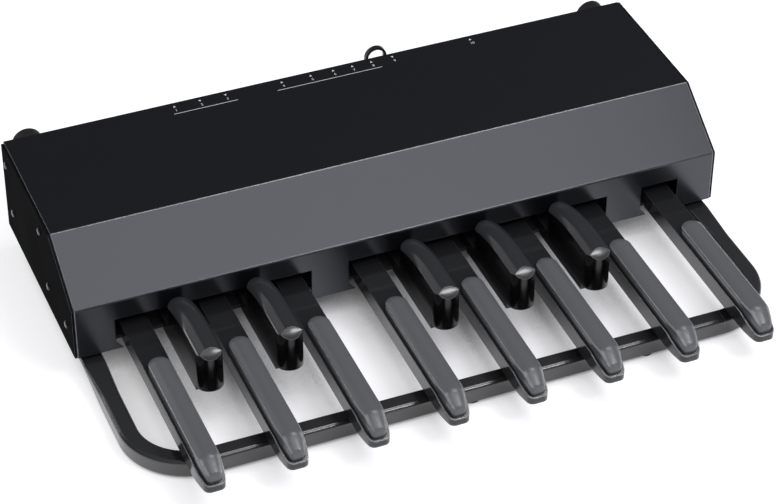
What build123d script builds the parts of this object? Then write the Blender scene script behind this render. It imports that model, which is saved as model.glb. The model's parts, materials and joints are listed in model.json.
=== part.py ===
from build123d import *
import os

os.makedirs("parts", exist_ok=True)

# Bass pedalboard with thirteen foot pedals in a folded sheet housing on a floor frame.
# Millimetres, +Z up, pedals point to -Y, origin on the floor under the middle of the object.

# Pedal layout, counted from the left
natural_pitch = 65.0
natural_count = 8
sharp_after = (1, 2, 4, 5, 6)
end_margin = 48.5

# Housing
top_depth = 131.0
slope_depth = 54.3
housing_height = 83.4
skirt_height = 47.1
sheet = 1.2
sheet_bend = 2.0
end_plate_thickness = 2.0
end_plate_inset = 0.8
end_plate_corner = 2.5
end_flange_width = 26.0
bottom_plate_setback = 9.3
panel_flange = 12.0
fit_gap = 0.1

# Openings in the skirt, with flared feet on the tabs between them
slot_height = 29.4
slot_margin = 16.5
tab_flare = 5.5
tab_flare_height = 6.6

# Screws through the end plates, and the tabs that take them
upper_screw_drop = 15.5
rear_upper_screw_at = 11.5
front_upper_screw_setback = 26.3
panel_screw_at = 21.2
panel_screw_rise = 26.0
stop_screw_setback = 4.6
stop_screw_rise = 0.8
skirt_screw_setback = 18.0
skirt_screw_rise = 21.5
screw_radius = 1.5
screw_head_radius = 3.1
screw_head_height = 1.6
screw_head_taper = 20.0
screw_length = 6.0
screw_clearance = 0.2
tab_half_width = 8.5

# Floor frame
tube_width = 15.5
tube_height = 16.2
tube_wall = 1.5
tube_corner = 3.5
tube_bend = 47.75
rail_inset = 6.2
rail_gap = 4.2
flat_width = 18.0
flat_thickness = 5.5
flat_corner = 2.0
flat_start = 4.7
squash_length = 38.0
flat_overlap = 85.3
front_bar_overhang = 134.7
front_bolt_setback = 35.3
rear_bolt_setback = 73.3
bolt_radius = 2.5
bolt_clearance = 0.25
bolt_head_radius = 4.5
bolt_head_height = 3.5
nut_radius = 4.6
nut_height = 4.0
spacer_radius = 6.5
pad_radius = 6.0
pad_height = 1.2
pad_spacing = 150.0
rail_pad_overhang = 69.7

# Rear feet and bumpers
foot_radius = 10.0
foot_taper = 4.0
foot_inset = 44.0
foot_at = 30.0
stem_radius = 2.9
stem_length = 6.0
bumper_radius = 12.5
bumper_projection = 13.0
bumper_edge = 2.5
bumper_inset = 22.0

# Pivot
pivot_at = 21.0
pivot_rise = 9.5
rod_radius = 4.0
rod_chamfer = 0.5
running_gap = 0.05
bracket_thickness = 3.0
bracket_half_depth = 9.0
bracket_base = 12.0
bracket_base_thickness = 2.5
bracket_inset = 12.0
spacer_wall = 2.2
side_gap = 0.25

# Pedal arms, inverted channels
arm_rise = 7.0
arm_wall = 1.5
arm_rear = 9.0
natural_arm_width = 22.0
arm_height = 14.0
natural_overhang = 187.0
sharp_arm_width = 19.4
sharp_overhang = 90.7
sharp_arm_setback = 15.5
relief_clearance = 6.5
relief_start = 42.0
relief_setback = 3.8
nose_length = 24.8
nose_front_width = 15.0
nose_corner = 5.5
nose_lip = 6.0

# Natural caps
cap_margin = 2.0
natural_cap_gap = 50.7
natural_cap_height = 9.7
natural_cap_crown = 16.0
natural_cap_edge = 1.8
crown_lean = 0.3
natural_fall_length = 17.0
natural_fall_bend = 12.0
natural_fall_angle = 36.0

# Sharp caps
sharp_cap_width = 23.6
sharp_cap_gap = 11.7
sharp_cap_height = 31.7
sharp_cap_crown = 10.6
sharp_cap_draft = 0.09
sharp_cap_fit = 0.1
sharp_level_length = 36.0
sharp_fall_radius = 90.0
sharp_fall_turn = 45.0
sharp_front_round = 9.5
sharp_facet_length = 8.0
sharp_facet_drop = 8.0
sharp_apron_drop = 5.8

# Stops, springs and sensors
stop_bar_thickness = 2.0
stop_bar_setback = 35.3
stop_bar_depth = 35.0
stop_bar_upstand = 16.0
upper_felt_depth = 20.0
upper_felt_thickness = 2.8
felt_gap = 0.2
lower_felt_thickness = 2.0
lower_felt_depth = 18.0
felt_margin = 17.5
leaf_thickness = 0.8
leaf_width = 10.0
leaf_foot_at = 52.0
leaf_foot_length = 14.0
leaf_rise_length = 52.0
leaf_tip_length = 10.0
board_thickness = 1.6
sensor_board_height = 16.0
sensor_width = 8.0
sensor_depth = 5.0
sensor_height = 6.0

# Rear panel fittings, from the left
fitting_rise = 37.2
first_socket_x = -132.0
socket_gap = 2.35
socket_count = 3
jack_x = -37.8
level_knob_x = -12.0
tone_knob_x = 8.1
tone_knob_pitch = 17.3
tone_knob_count = 3
supply_x = 62.1
switch_x = 133.4
board_drop = 10.0
board_margin = 14.0
main_board_depth = 52.0
main_board_gap = 3.0
panel_hole_gap = 0.15

socket_body = 20.0
socket_body_depth = 16.0
socket_collar_radius = 7.4
socket_collar_projection = 0.6
socket_groove_width = 1.1
socket_rim = 0.7
socket_groove_depth = 7.0

jack_body_width = 16.0
jack_body_depth = 24.0
jack_bush_wall = 1.2
jack_bush_projection = 3.0
jack_nut_wall = 2.1
jack_nut_height = 2.0
jack_bore_radius = 3.2
jack_bore_depth = 22.0

supply_body_width = 10.0
supply_body_depth = 13.0
supply_barrel_wall = 1.1
supply_barrel_projection = 0.6
supply_opening_radius = 3.1
supply_opening_depth = 9.0
supply_pin_radius = 1.0
supply_pin_recess = 1.0

control_body_width = 11.0
control_body_depth = 10.0
control_bush_wall = 0.85
control_bush_projection = 4.0
knob_shaft_radius = 3.0
knob_shaft_depth = 8.0
knob_shaft_clearance = 1.0
knob_wall = 2.1
knob_length = 10.0
knob_panel_gap = 1.0
knob_cavity_gap = 0.5
knob_edge = 0.8
knob_grip_depth = 0.6
knob_grip_width = 1.6
knob_grip_count = 12

switch_wall = 2.7
switch_body_depth = 17.0
switch_bezel_wall = 1.7
switch_bezel_projection = 1.5
button_width = 8.0
button_gap = 0.3
button_projection = 5.0
button_depth = 10.0
button_travel = 3.0
button_edge = 0.8

# Cord hook
hook_x = 52.0
hook_rise = 4.5
hook_height = 31.5
hook_width = 19.0
hook_band = 2.2
hook_depth = 4.0
hook_standoff = 6.0
hook_base_height = 7.0
hook_base_margin = 1.5

# Depths, measured forward from the rear edge of the housing
skirt_depth = top_depth + slope_depth
bottom_plate_depth = skirt_depth - bottom_plate_setback
front_bar_at = skirt_depth + front_bar_overhang
flat_at = skirt_depth + flat_start
squash_at = flat_at + squash_length
rail_end = skirt_depth - flat_overlap
natural_reach = skirt_depth + natural_overhang
sharp_reach = skirt_depth + sharp_overhang
nose_at = natural_reach - nose_length
natural_cap_start = skirt_depth + natural_cap_gap
natural_fall_at = natural_reach - natural_fall_length
sharp_cap_start = skirt_depth + sharp_cap_gap
sharp_arm_reach = sharp_reach - sharp_arm_setback
stop_bar_front = skirt_depth - stop_bar_setback
stop_bar_rear = stop_bar_front - stop_bar_depth
rear_y = (natural_reach - bumper_projection) / 2

# Heights, stacked up from the floor
tube_top = pad_height + tube_height
tube_middle = pad_height + tube_height / 2
flat_bottom = tube_top - flat_thickness
housing_bottom = tube_top + rail_gap
housing_top = housing_bottom + housing_height
skirt_top = housing_bottom + skirt_height
slot_top = housing_bottom + slot_height
cover_underside = housing_top - sheet
end_flange_top = housing_bottom + end_plate_thickness
plate_top = end_flange_top + sheet
pivot_height = plate_top + pivot_rise
arm_top = pivot_height + arm_rise
web_bottom = arm_top - arm_wall
arm_bottom = arm_top - arm_height
relief_bottom = plate_top + relief_clearance
nose_edge_height = arm_bottom + nose_lip
natural_cap_top = arm_top + natural_cap_height
sharp_cap_top = arm_top + sharp_cap_height
sharp_cap_bottom = arm_top - sharp_apron_drop
sharp_shoulder = sharp_cap_top - sharp_facet_drop
upper_felt_bottom = arm_top + felt_gap
stop_bar_bottom = upper_felt_bottom + upper_felt_thickness
stop_bar_top = stop_bar_bottom + stop_bar_thickness
fitting_height = plate_top + fitting_rise
board_top = fitting_height - board_drop
bumper_height = housing_top - bumper_radius
hook_top = housing_top + hook_rise
hook_base_bottom = hook_top - hook_height

# Places along the row of pedals
outer_pedal_x = (natural_count - 1) / 2 * natural_pitch
half_length = outer_pedal_x + end_margin
half_outer = half_length + end_plate_thickness
rail_x = half_outer - rail_inset - tube_width / 2
bar_half = rail_x - tube_bend
foot_x = half_length - foot_inset
bumper_x = half_length - bumper_inset
end_bracket_x = half_length - bracket_inset
felt_half = outer_pedal_x + felt_margin
natural_cap_width = natural_arm_width - 2 * cap_margin
socket_x = [first_socket_x + number * (socket_body + socket_gap) for number in range(socket_count)]
tone_knobs = [tone_knob_x + number * tone_knob_pitch for number in range(tone_knob_count)]
knob_x = [level_knob_x, *tone_knobs]

# Sizes that follow from what passes through
tube_bore = (tube_width - 2 * tube_wall, tube_height - 2 * tube_wall, tube_corner - tube_wall)
bore_radius = rod_radius + running_gap
tap_radius = screw_radius + running_gap
socket_groove_outer = socket_collar_radius - socket_rim
socket_groove_inner = socket_groove_outer - socket_groove_width
jack_bush_radius = jack_bore_radius + jack_bush_wall
jack_nut_radius = jack_bush_radius + jack_nut_wall
supply_barrel_radius = supply_opening_radius + supply_barrel_wall
control_bore_radius = knob_shaft_radius + running_gap
control_bush_radius = control_bore_radius + control_bush_wall
knob_cavity_radius = control_bush_radius + knob_cavity_gap
knob_radius = knob_cavity_radius + knob_wall
button_opening = button_width + 2 * button_gap
switch_bezel_width = button_opening + 2 * switch_bezel_wall
switch_body_width = button_opening + 2 * switch_wall
hook_base_width = hook_width + 2 * hook_base_margin


def ahead(distance):
    """Y of a place this far in front of the rear edge of the housing."""
    return rear_y - distance


def natural_x(number):
    """X of a natural pedal, counted from 1 at the left."""
    return (number - (natural_count + 1) / 2) * natural_pitch


def sharp_x(number):
    """X of the sharp pedal after this natural."""
    return natural_x(number) + natural_pitch / 2


natural_places = [natural_x(number) for number in range(1, natural_count + 1)]
sharp_places = [sharp_x(number) for number in sharp_after]
gap_places = [sharp_x(n) for n in range(1, natural_count) if n not in sharp_after]


def write(piece, label):
    """Label a finished piece and write its file."""
    piece.label = label
    export_step(piece, f"parts/{label}.step")


def box_between(low, high, mode=Mode.ADD):
    """Box between two opposite corners, in the part being built."""
    size = [b - a for a, b in zip(low, high)]
    middle = [(a + b) / 2 for a, b in zip(low, high)]
    with Locations(tuple(middle)):
        Box(*size, mode=mode)


# Housing

cover_line = (
    (ahead(0), housing_top),
    (ahead(top_depth), housing_top),
    (ahead(skirt_depth), skirt_top),
    (ahead(skirt_depth), housing_bottom),
)
cover_half = half_length - fit_gap

slot_groups = []
first_in_group = 1
for number in range(1, natural_count + 1):
    if number not in sharp_after:
        slot_groups.append((first_in_group, number))
        first_in_group = number + 1

upper_screw_height = housing_top - upper_screw_drop
upper_screws = [
    (ahead(rear_upper_screw_at), upper_screw_height),
    (ahead(top_depth - front_upper_screw_setback), upper_screw_height),
]
skirt_screw = (ahead(skirt_depth - skirt_screw_setback), housing_bottom + skirt_screw_rise)
panel_screw = (ahead(panel_screw_at), housing_bottom + panel_screw_rise)
stop_screw = (ahead(stop_bar_rear + stop_screw_setback), stop_bar_bottom + stop_screw_rise)
end_screws = [*upper_screws, panel_screw, stop_screw, skirt_screw]


def screw_holes(places, radius):
    """Holes along X through the part being built, one at each place."""
    with BuildSketch(Plane.YZ.offset(-half_outer)) as holes:
        with Locations(*places):
            Circle(radius)
    extrude(holes.sketch, amount=2 * half_outer, mode=Mode.SUBTRACT)


with BuildPart() as top_cover:
    with BuildSketch(Plane.YZ.offset(-cover_half)):
        with BuildLine():
            FilletPolyline(*cover_line, radius=sheet_bend)
            offset(amount=sheet, side=Side.LEFT)
        make_face()
    extrude(amount=2 * cover_half)
    # Openings for each run of naturals and the sharps among them
    with BuildSketch(Plane.XZ.offset(-ahead(skirt_depth + sheet))):
        for first, last in slot_groups:
            left = natural_x(first) - slot_margin
            right = natural_x(last) + slot_margin
            flare_top = housing_bottom + tab_flare_height
            with BuildLine():
                Polyline(
                    (left + tab_flare, housing_bottom),
                    (left, flare_top),
                    (left, slot_top),
                    (right, slot_top),
                    (right, flare_top),
                    (right - tab_flare, housing_bottom),
                    close=True,
                )
            make_face()
    extrude(amount=-3 * sheet, mode=Mode.SUBTRACT)
    # Turned-in tabs that take the end plate screws
    for side in (-1, 1):
        inner = side * (cover_half - sheet)
        outer = side * cover_half
        for y, z in upper_screws:
            box_between(
                (min(inner, outer), y - tab_half_width, z - tab_half_width),
                (max(inner, outer), y + tab_half_width, housing_top - sheet / 2),
            )
        y, z = skirt_screw
        box_between(
            (min(inner, outer), ahead(skirt_depth - sheet / 2), z - tab_half_width),
            (max(inner, outer), y + tab_half_width, z + tab_half_width),
        )
    screw_holes([*upper_screws, skirt_screw], tap_radius)
write(top_cover.part, "top_cover")

with BuildPart() as rear_panel:
    panel_half = half_length - fit_gap
    panel_top = cover_underside - fit_gap
    box_between((-panel_half, ahead(sheet), housing_bottom), (panel_half, ahead(0), panel_top))
    # Top flange under the cover
    flange_half = cover_half - sheet - fit_gap
    box_between(
        (-flange_half, ahead(panel_flange), panel_top - sheet),
        (flange_half, ahead(sheet / 2), panel_top),
    )
    # Turned-in sides for the end plate screws
    for side in (-1, 1):
        inner = side * (panel_half - sheet)
        outer = side * panel_half
        y, z = panel_screw
        box_between(
            (min(inner, outer), y - tab_half_width, z - tab_half_width),
            (max(inner, outer), ahead(sheet / 2), z + tab_half_width),
        )
    screw_holes([panel_screw], tap_radius)
    with BuildSketch(Plane.XZ.offset(-ahead(0))):
        with Locations(*[(x, fitting_height) for x in socket_x]):
            Circle(socket_collar_radius + panel_hole_gap)
        with Locations((jack_x, fitting_height)):
            Circle(jack_bush_radius + panel_hole_gap)
        with Locations(*[(x, fitting_height) for x in knob_x]):
            Circle(control_bush_radius + panel_hole_gap)
        with Locations((supply_x, fitting_height)):
            Circle(supply_barrel_radius + panel_hole_gap)
        with Locations((switch_x, fitting_height)):
            switch_hole = switch_bezel_width + 2 * panel_hole_gap
            Rectangle(switch_hole, switch_hole)
        with Locations((-bumper_x, bumper_height), (bumper_x, bumper_height)):
            Circle(stem_radius + fit_gap)
    extrude(amount=sheet, mode=Mode.SUBTRACT)
write(rear_panel.part, "rear_panel")

rail_bolts_at = [
    (side * rail_x, ahead(skirt_depth - setback))
    for side in (-1, 1)
    for setback in (front_bolt_setback, rear_bolt_setback)
]
foot_places = [(-foot_x, ahead(foot_at)), (foot_x, ahead(foot_at))]

with BuildPart() as bottom_plate:
    box_between(
        (-half_length + fit_gap, ahead(bottom_plate_depth), end_flange_top),
        (half_length - fit_gap, ahead(sheet + fit_gap), plate_top),
    )
    with BuildSketch(Plane.XY.offset(end_flange_top)):
        with Locations(*rail_bolts_at):
            Circle(bolt_radius + bolt_clearance)
        with Locations(*foot_places):
            Circle(stem_radius + fit_gap)
    extrude(amount=sheet, mode=Mode.SUBTRACT)
write(bottom_plate.part, "bottom_plate")


def end_plate(side):
    """Flat end plate with an inturned bottom flange."""
    inner_x = side * half_length
    flange_inner = side * (half_length - end_flange_width)
    with BuildPart() as plate:
        with BuildSketch(Plane.YZ.offset(inner_x)) as outline:
            with BuildLine():
                Polyline(*cover_line, (ahead(0), housing_bottom), close=True)
            make_face()
            with BuildLine():
                Polyline(*cover_line)
                offset(amount=end_plate_inset, side=Side.LEFT)
            make_face(mode=Mode.SUBTRACT)
            fillet(outline.vertices().sort_by(Axis.Y)[-2:].sort_by(Axis.Z)[-1], end_plate_corner)
        extrude(amount=side * end_plate_thickness)
        box_between(
            (min(inner_x, flange_inner), ahead(bottom_plate_depth), housing_bottom),
            (max(inner_x, flange_inner), ahead(sheet + fit_gap), end_flange_top),
        )
        with BuildSketch(Plane.XY.offset(housing_bottom)):
            with Locations(*[place for place in rail_bolts_at if place[0] * side > 0]):
                Circle(bolt_radius + bolt_clearance)
        extrude(amount=end_plate_thickness, mode=Mode.SUBTRACT)
        screw_holes(end_screws, screw_radius + screw_clearance)
    return plate.part


write(end_plate(-1), "left_end_plate")
write(end_plate(1), "right_end_plate")

with BuildPart() as end_plate_screws:
    for side in (-1, 1):
        with BuildSketch(Plane.YZ.offset(side * half_outer)):
            with Locations(*end_screws):
                Circle(screw_head_radius)
        extrude(amount=side * screw_head_height, taper=screw_head_taper)
        with BuildSketch(Plane.YZ.offset(side * half_outer)):
            with Locations(*end_screws):
                Circle(screw_radius)
        extrude(amount=-side * screw_length)
write(end_plate_screws.part, "end_plate_screws")


# Floor frame

def rail(side):
    """Side tube with its front bend, and a flattened rear end that bolts under the housing."""
    x = side * rail_x
    squash_plane = Plane((x, ahead(squash_at), tube_middle), x_dir=(1, 0, 0), z_dir=(0, 1, 0))
    flat_middle = tube_top - flat_thickness / 2
    flat_plane = Plane((x, ahead(flat_at), flat_middle), x_dir=(1, 0, 0), z_dir=(0, 1, 0))
    with BuildPart() as tube:
        with BuildLine() as path:
            bend_start = (x, ahead(front_bar_at) + tube_bend, tube_middle)
            Line((x, ahead(squash_at), tube_middle), bend_start)
            TangentArc(bend_start, (side * bar_half, ahead(front_bar_at), tube_middle), tangent=(0, -1, 0))
        with BuildSketch(squash_plane):
            RectangleRounded(tube_width, tube_height, tube_corner)
        sweep(path=path.wire())
        with BuildSketch(squash_plane):
            RectangleRounded(*tube_bore)
        sweep(path=path.wire(), mode=Mode.SUBTRACT)
        with BuildSketch(squash_plane):
            RectangleRounded(tube_width, tube_height, tube_corner)
        with BuildSketch(flat_plane):
            RectangleRounded(flat_width, flat_thickness, flat_corner)
        loft()
        with BuildSketch(flat_plane):
            RectangleRounded(flat_width, flat_thickness, flat_corner)
        extrude(amount=flat_at - rail_end)
        with BuildSketch(Plane.XY.offset(flat_bottom)):
            with Locations(*[place for place in rail_bolts_at if place[0] * side > 0]):
                Circle(bolt_radius + bolt_clearance)
        extrude(amount=flat_thickness, mode=Mode.SUBTRACT)
    return tube.part


write(rail(-1), "left_rail")
write(rail(1), "right_rail")

with BuildPart() as front_bar:
    bar_plane = Plane((-bar_half, ahead(front_bar_at), tube_middle), x_dir=(0, 1, 0), z_dir=(1, 0, 0))
    with BuildSketch(bar_plane):
        RectangleRounded(tube_width, tube_height, tube_corner)
        RectangleRounded(*tube_bore, mode=Mode.SUBTRACT)
    extrude(amount=2 * bar_half)
write(front_bar.part, "front_bar")

with BuildPart() as rail_spacers:
    with BuildSketch(Plane.XY.offset(tube_top)):
        with Locations(*rail_bolts_at):
            Circle(spacer_radius)
            Circle(bolt_radius + bolt_clearance, mode=Mode.SUBTRACT)
    extrude(amount=housing_bottom - tube_top)
write(rail_spacers.part, "rail_spacers")

with BuildPart() as rail_bolts:
    with BuildSketch(Plane.XY.offset(flat_bottom)):
        with Locations(*rail_bolts_at):
            RegularPolygon(bolt_head_radius, 6)
    extrude(amount=-bolt_head_height)
    with BuildSketch(Plane.XY.offset(flat_bottom)):
        with Locations(*rail_bolts_at):
            Circle(bolt_radius)
    extrude(amount=plate_top + nut_height - flat_bottom)
    with BuildSketch(Plane.XY.offset(plate_top)):
        with Locations(*rail_bolts_at):
            RegularPolygon(nut_radius, 6)
    extrude(amount=nut_height)
write(rail_bolts.part, "rail_bolts")

with BuildPart() as frame_pads:
    with BuildSketch():
        with Locations((0, ahead(front_bar_at))):
            with GridLocations(pad_spacing, 0, 3, 1):
                Circle(pad_radius)
        rail_pad_y = ahead(skirt_depth + rail_pad_overhang)
        with Locations((-rail_x, rail_pad_y), (rail_x, rail_pad_y)):
            Circle(pad_radius)
    extrude(amount=pad_height)
write(frame_pads.part, "frame_pads")

with BuildPart() as rear_feet:
    with BuildSketch():
        with Locations(*foot_places):
            Circle(foot_radius)
    extrude(amount=end_flange_top, taper=-foot_taper)
    with BuildSketch(Plane.XY.offset(end_flange_top)):
        with Locations(*foot_places):
            Circle(stem_radius)
    extrude(amount=stem_length)
write(rear_feet.part, "rear_feet")

with BuildPart() as rear_bumpers:
    with BuildSketch(Plane.XZ.offset(-ahead(0))):
        with Locations((-bumper_x, bumper_height), (bumper_x, bumper_height)):
            Circle(bumper_radius)
    extrude(amount=-bumper_projection)
    chamfer(rear_bumpers.edges().group_by(Axis.Y)[-1], bumper_edge)
    with BuildSketch(Plane.XZ.offset(-ahead(0))):
        with Locations((-bumper_x, bumper_height), (bumper_x, bumper_height)):
            Circle(stem_radius)
    extrude(amount=stem_length)
write(rear_bumpers.part, "rear_bumpers")


# Pivot

pivot_y = ahead(pivot_at)
bracket_places = sorted([-end_bracket_x, *gap_places, end_bracket_x])
with BuildPart() as pivot_rod:
    rod_half = end_bracket_x + bracket_thickness / 2
    with BuildSketch(Plane.YZ.offset(-rod_half)):
        with Locations((pivot_y, pivot_height)):
            Circle(rod_radius)
    extrude(amount=2 * rod_half)
    chamfer(pivot_rod.edges().filter_by(GeomType.CIRCLE), rod_chamfer)
write(pivot_rod.part, "pivot_rod")

with BuildPart() as pivot_brackets:
    for x in bracket_places:
        inward = -1 if x > 0 else 1
        with BuildSketch(Plane.YZ.offset(x - bracket_thickness / 2)):
            with Locations((pivot_y, pivot_height)):
                Circle(bracket_half_depth)
            with Locations((pivot_y, (plate_top + pivot_height) / 2)):
                Rectangle(2 * bracket_half_depth, pivot_height - plate_top)
            with Locations((pivot_y, pivot_height)):
                Circle(bore_radius, mode=Mode.SUBTRACT)
        extrude(amount=bracket_thickness)
        face_x = x + inward * bracket_thickness / 2
        toe_x = face_x + inward * bracket_base
        box_between(
            (min(x, toe_x), pivot_y - bracket_half_depth, plate_top),
            (max(x, toe_x), pivot_y + bracket_half_depth, plate_top + bracket_base_thickness),
        )
write(pivot_brackets.part, "pivot_brackets")

# Spacer tubes fill the rod between neighbouring arms and brackets
rod_stations = [(x, natural_arm_width / 2) for x in natural_places]
rod_stations += [(x, sharp_arm_width / 2) for x in sharp_places]
rod_stations += [(x, bracket_thickness / 2) for x in bracket_places]
rod_stations.sort()

with BuildPart() as pivot_spacers:
    for (left_x, left_half), (right_x, right_half) in zip(rod_stations, rod_stations[1:]):
        start = left_x + left_half + side_gap
        length = right_x - right_half - side_gap - start
        with BuildSketch(Plane.YZ.offset(start)):
            with Locations((pivot_y, pivot_height)):
                RegularPolygon(bore_radius + spacer_wall, 6)
                Circle(bore_radius, mode=Mode.SUBTRACT)
        extrude(amount=length)
write(pivot_spacers.part, "pivot_spacers")


# Stops, springs and boards

with BuildPart() as upper_stop_bar:
    bar_reach = half_length - fit_gap
    box_between(
        (-bar_reach, ahead(stop_bar_front), stop_bar_bottom),
        (bar_reach, ahead(stop_bar_rear), stop_bar_top),
    )
    box_between(
        (-bar_reach, ahead(stop_bar_rear + stop_bar_thickness), stop_bar_bottom),
        (bar_reach, ahead(stop_bar_rear), stop_bar_top + stop_bar_upstand),
    )
    for side in (-1, 1):
        inner = side * (bar_reach - stop_bar_thickness)
        outer = side * bar_reach
        y, z = stop_screw
        box_between(
            (min(inner, outer), y - tab_half_width, z - tab_half_width),
            (max(inner, outer), ahead(stop_bar_rear), z + tab_half_width),
        )
    screw_holes([stop_screw], tap_radius)
write(upper_stop_bar.part, "upper_stop_bar")

with BuildPart() as upper_stop_felt:
    box_between(
        (-felt_half, ahead(stop_bar_front), upper_felt_bottom),
        (felt_half, ahead(stop_bar_front - upper_felt_depth), stop_bar_bottom),
    )
write(upper_stop_felt.part, "upper_stop_felt")

with BuildPart() as lower_stop_felt:
    box_between(
        (-felt_half, ahead(bottom_plate_depth), plate_top),
        (felt_half, ahead(bottom_plate_depth - lower_felt_depth), plate_top + lower_felt_thickness),
    )
write(lower_stop_felt.part, "lower_stop_felt")

with BuildPart() as return_springs:
    leaf_high = web_bottom - felt_gap - leaf_thickness
    leaf_foot_end = leaf_foot_at + leaf_foot_length
    leaf_tip_at = leaf_foot_end + leaf_rise_length
    for x in sorted(natural_places + sharp_places):
        with BuildSketch(Plane.YZ.offset(x - leaf_width / 2)):
            with BuildLine():
                Polyline(
                    (ahead(leaf_foot_at), plate_top),
                    (ahead(leaf_foot_end), plate_top),
                    (ahead(leaf_tip_at), leaf_high),
                    (ahead(leaf_tip_at + leaf_tip_length), leaf_high),
                )
                offset(amount=leaf_thickness, kind=Kind.INTERSECTION, side=Side.RIGHT)
            make_face()
        extrude(amount=leaf_width)
write(return_springs.part, "return_springs")

with BuildPart() as sensor_board:
    board_rear = ahead(stop_bar_rear) + board_thickness
    box_between(
        (-felt_half, ahead(stop_bar_rear), stop_bar_top),
        (felt_half, board_rear, stop_bar_top + sensor_board_height),
    )
    for x in sorted(natural_places + sharp_places):
        box_between(
            (x - sensor_width / 2, board_rear - board_thickness / 2, stop_bar_top),
            (x + sensor_width / 2, board_rear + sensor_depth, stop_bar_top + sensor_height),
        )
write(sensor_board.part, "sensor_board")

with BuildPart() as main_board:
    box_between(
        (socket_x[0] - board_margin, ahead(main_board_gap + main_board_depth), board_top - board_thickness),
        (switch_x + board_margin, ahead(main_board_gap), board_top),
    )
write(main_board.part, "main_board")


# Rear panel fittings


def fitting_body(x, width, depth):
    """Block that stands on the main board behind the rear panel."""
    box_between(
        (x - width / 2, ahead(sheet + depth), board_top),
        (x + width / 2, ahead(sheet), fitting_height + width / 2),
    )


def fitting_round(places, radius, start, amount, mode=Mode.ADD):
    """Round boss or hole square to the rear panel; positive amounts run outwards from start."""
    with BuildSketch(Plane.XZ.offset(-start)) as rounds:
        with Locations(*[(x, fitting_height) for x in places]):
            Circle(radius)
    extrude(rounds.sketch, amount=-amount, mode=mode)


with BuildPart() as midi_sockets:
    for x in socket_x:
        fitting_body(x, socket_body, socket_body_depth)
    collar_face = ahead(0) + socket_collar_projection
    fitting_round(socket_x, socket_collar_radius, ahead(sheet), sheet + socket_collar_projection)
    with BuildSketch(Plane.XZ.offset(-collar_face)):
        with Locations(*[(x, fitting_height) for x in socket_x]):
            Circle(socket_groove_outer)
            Circle(socket_groove_inner, mode=Mode.SUBTRACT)
    extrude(amount=socket_groove_depth, mode=Mode.SUBTRACT)
write(midi_sockets.part, "midi_sockets")

with BuildPart() as line_out_jack:
    fitting_body(jack_x, jack_body_width, jack_body_depth)
    fitting_round([jack_x], jack_bush_radius, ahead(sheet), sheet + jack_bush_projection)
    with BuildSketch(Plane.XZ.offset(-ahead(0))):
        with Locations((jack_x, fitting_height)):
            RegularPolygon(jack_nut_radius, 6)
    extrude(amount=-jack_nut_height)
    jack_mouth = ahead(0) + jack_bush_projection
    fitting_round([jack_x], jack_bore_radius, jack_mouth, -jack_bore_depth, Mode.SUBTRACT)
write(line_out_jack.part, "line_out_jack")

with BuildPart() as dc_socket:
    fitting_body(supply_x, supply_body_width, supply_body_depth)
    fitting_round([supply_x], supply_barrel_radius, ahead(sheet), sheet + supply_barrel_projection)
    supply_mouth = ahead(0) + supply_barrel_projection
    fitting_round([supply_x], supply_opening_radius, supply_mouth, -supply_opening_depth, Mode.SUBTRACT)
    pin_length = supply_opening_depth - supply_pin_recess
    fitting_round([supply_x], supply_pin_radius, supply_mouth - supply_opening_depth, pin_length)
write(dc_socket.part, "dc_socket")

with BuildPart() as potentiometers:
    for x in knob_x:
        fitting_body(x, control_body_width, control_body_depth)
    fitting_round(knob_x, control_bush_radius, ahead(sheet), sheet + control_bush_projection)
    bush_face = ahead(0) + control_bush_projection
    bore_depth = control_bush_projection + knob_shaft_depth + knob_shaft_clearance
    fitting_round(knob_x, control_bore_radius, bush_face, -bore_depth, Mode.SUBTRACT)
write(potentiometers.part, "potentiometers")


def knob(x):
    """Ribbed knob with its stub shaft in the control."""
    rear = ahead(0) + knob_panel_gap
    front = rear + knob_length
    cavity_end = ahead(0) + control_bush_projection + knob_cavity_gap
    with BuildPart() as body:
        with BuildSketch(Plane.YZ.offset(x)):
            with BuildLine():
                Polyline(
                    (ahead(knob_shaft_depth), fitting_height),
                    (ahead(knob_shaft_depth), fitting_height + knob_shaft_radius),
                    (cavity_end, fitting_height + knob_shaft_radius),
                    (cavity_end, fitting_height + knob_cavity_radius),
                    (rear, fitting_height + knob_cavity_radius),
                    (rear, fitting_height + knob_radius),
                    (front - knob_edge, fitting_height + knob_radius),
                    (front, fitting_height + knob_radius - knob_edge),
                    (front, fitting_height),
                    close=True,
                )
            make_face()
        revolve(axis=Axis((x, 0, fitting_height), (0, 1, 0)))
        with BuildSketch(Plane.XZ.offset(-front)):
            with Locations((x, fitting_height)):
                with PolarLocations(knob_radius, knob_grip_count):
                    Rectangle(2 * knob_grip_depth, knob_grip_width)
        extrude(amount=front - rear, mode=Mode.SUBTRACT)
    return body.part


for number, x in enumerate(knob_x, 1):
    write(knob(x), f"control_knob_{number}")

with BuildPart() as power_switch:
    fitting_body(switch_x, switch_body_width, switch_body_depth)
    bezel_face = ahead(0) + switch_bezel_projection
    with BuildSketch(Plane.XZ.offset(-ahead(sheet))):
        with Locations((switch_x, fitting_height)):
            Rectangle(switch_bezel_width, switch_bezel_width)
    extrude(amount=-sheet - switch_bezel_projection)
    with BuildSketch(Plane.XZ.offset(-bezel_face)):
        with Locations((switch_x, fitting_height)):
            Rectangle(button_opening, button_opening)
    extrude(amount=button_depth + button_travel + button_gap, mode=Mode.SUBTRACT)
write(power_switch.part, "power_switch")

with BuildPart() as power_button:
    with BuildSketch(Plane.XZ.offset(-(bezel_face - button_depth))):
        with Locations((switch_x, fitting_height)):
            Rectangle(button_width, button_width)
    extrude(amount=-(button_depth + button_projection))
    fillet(power_button.faces().sort_by(Axis.Y)[-1].edges(), button_edge)
write(power_button.part, "power_button")

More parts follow.
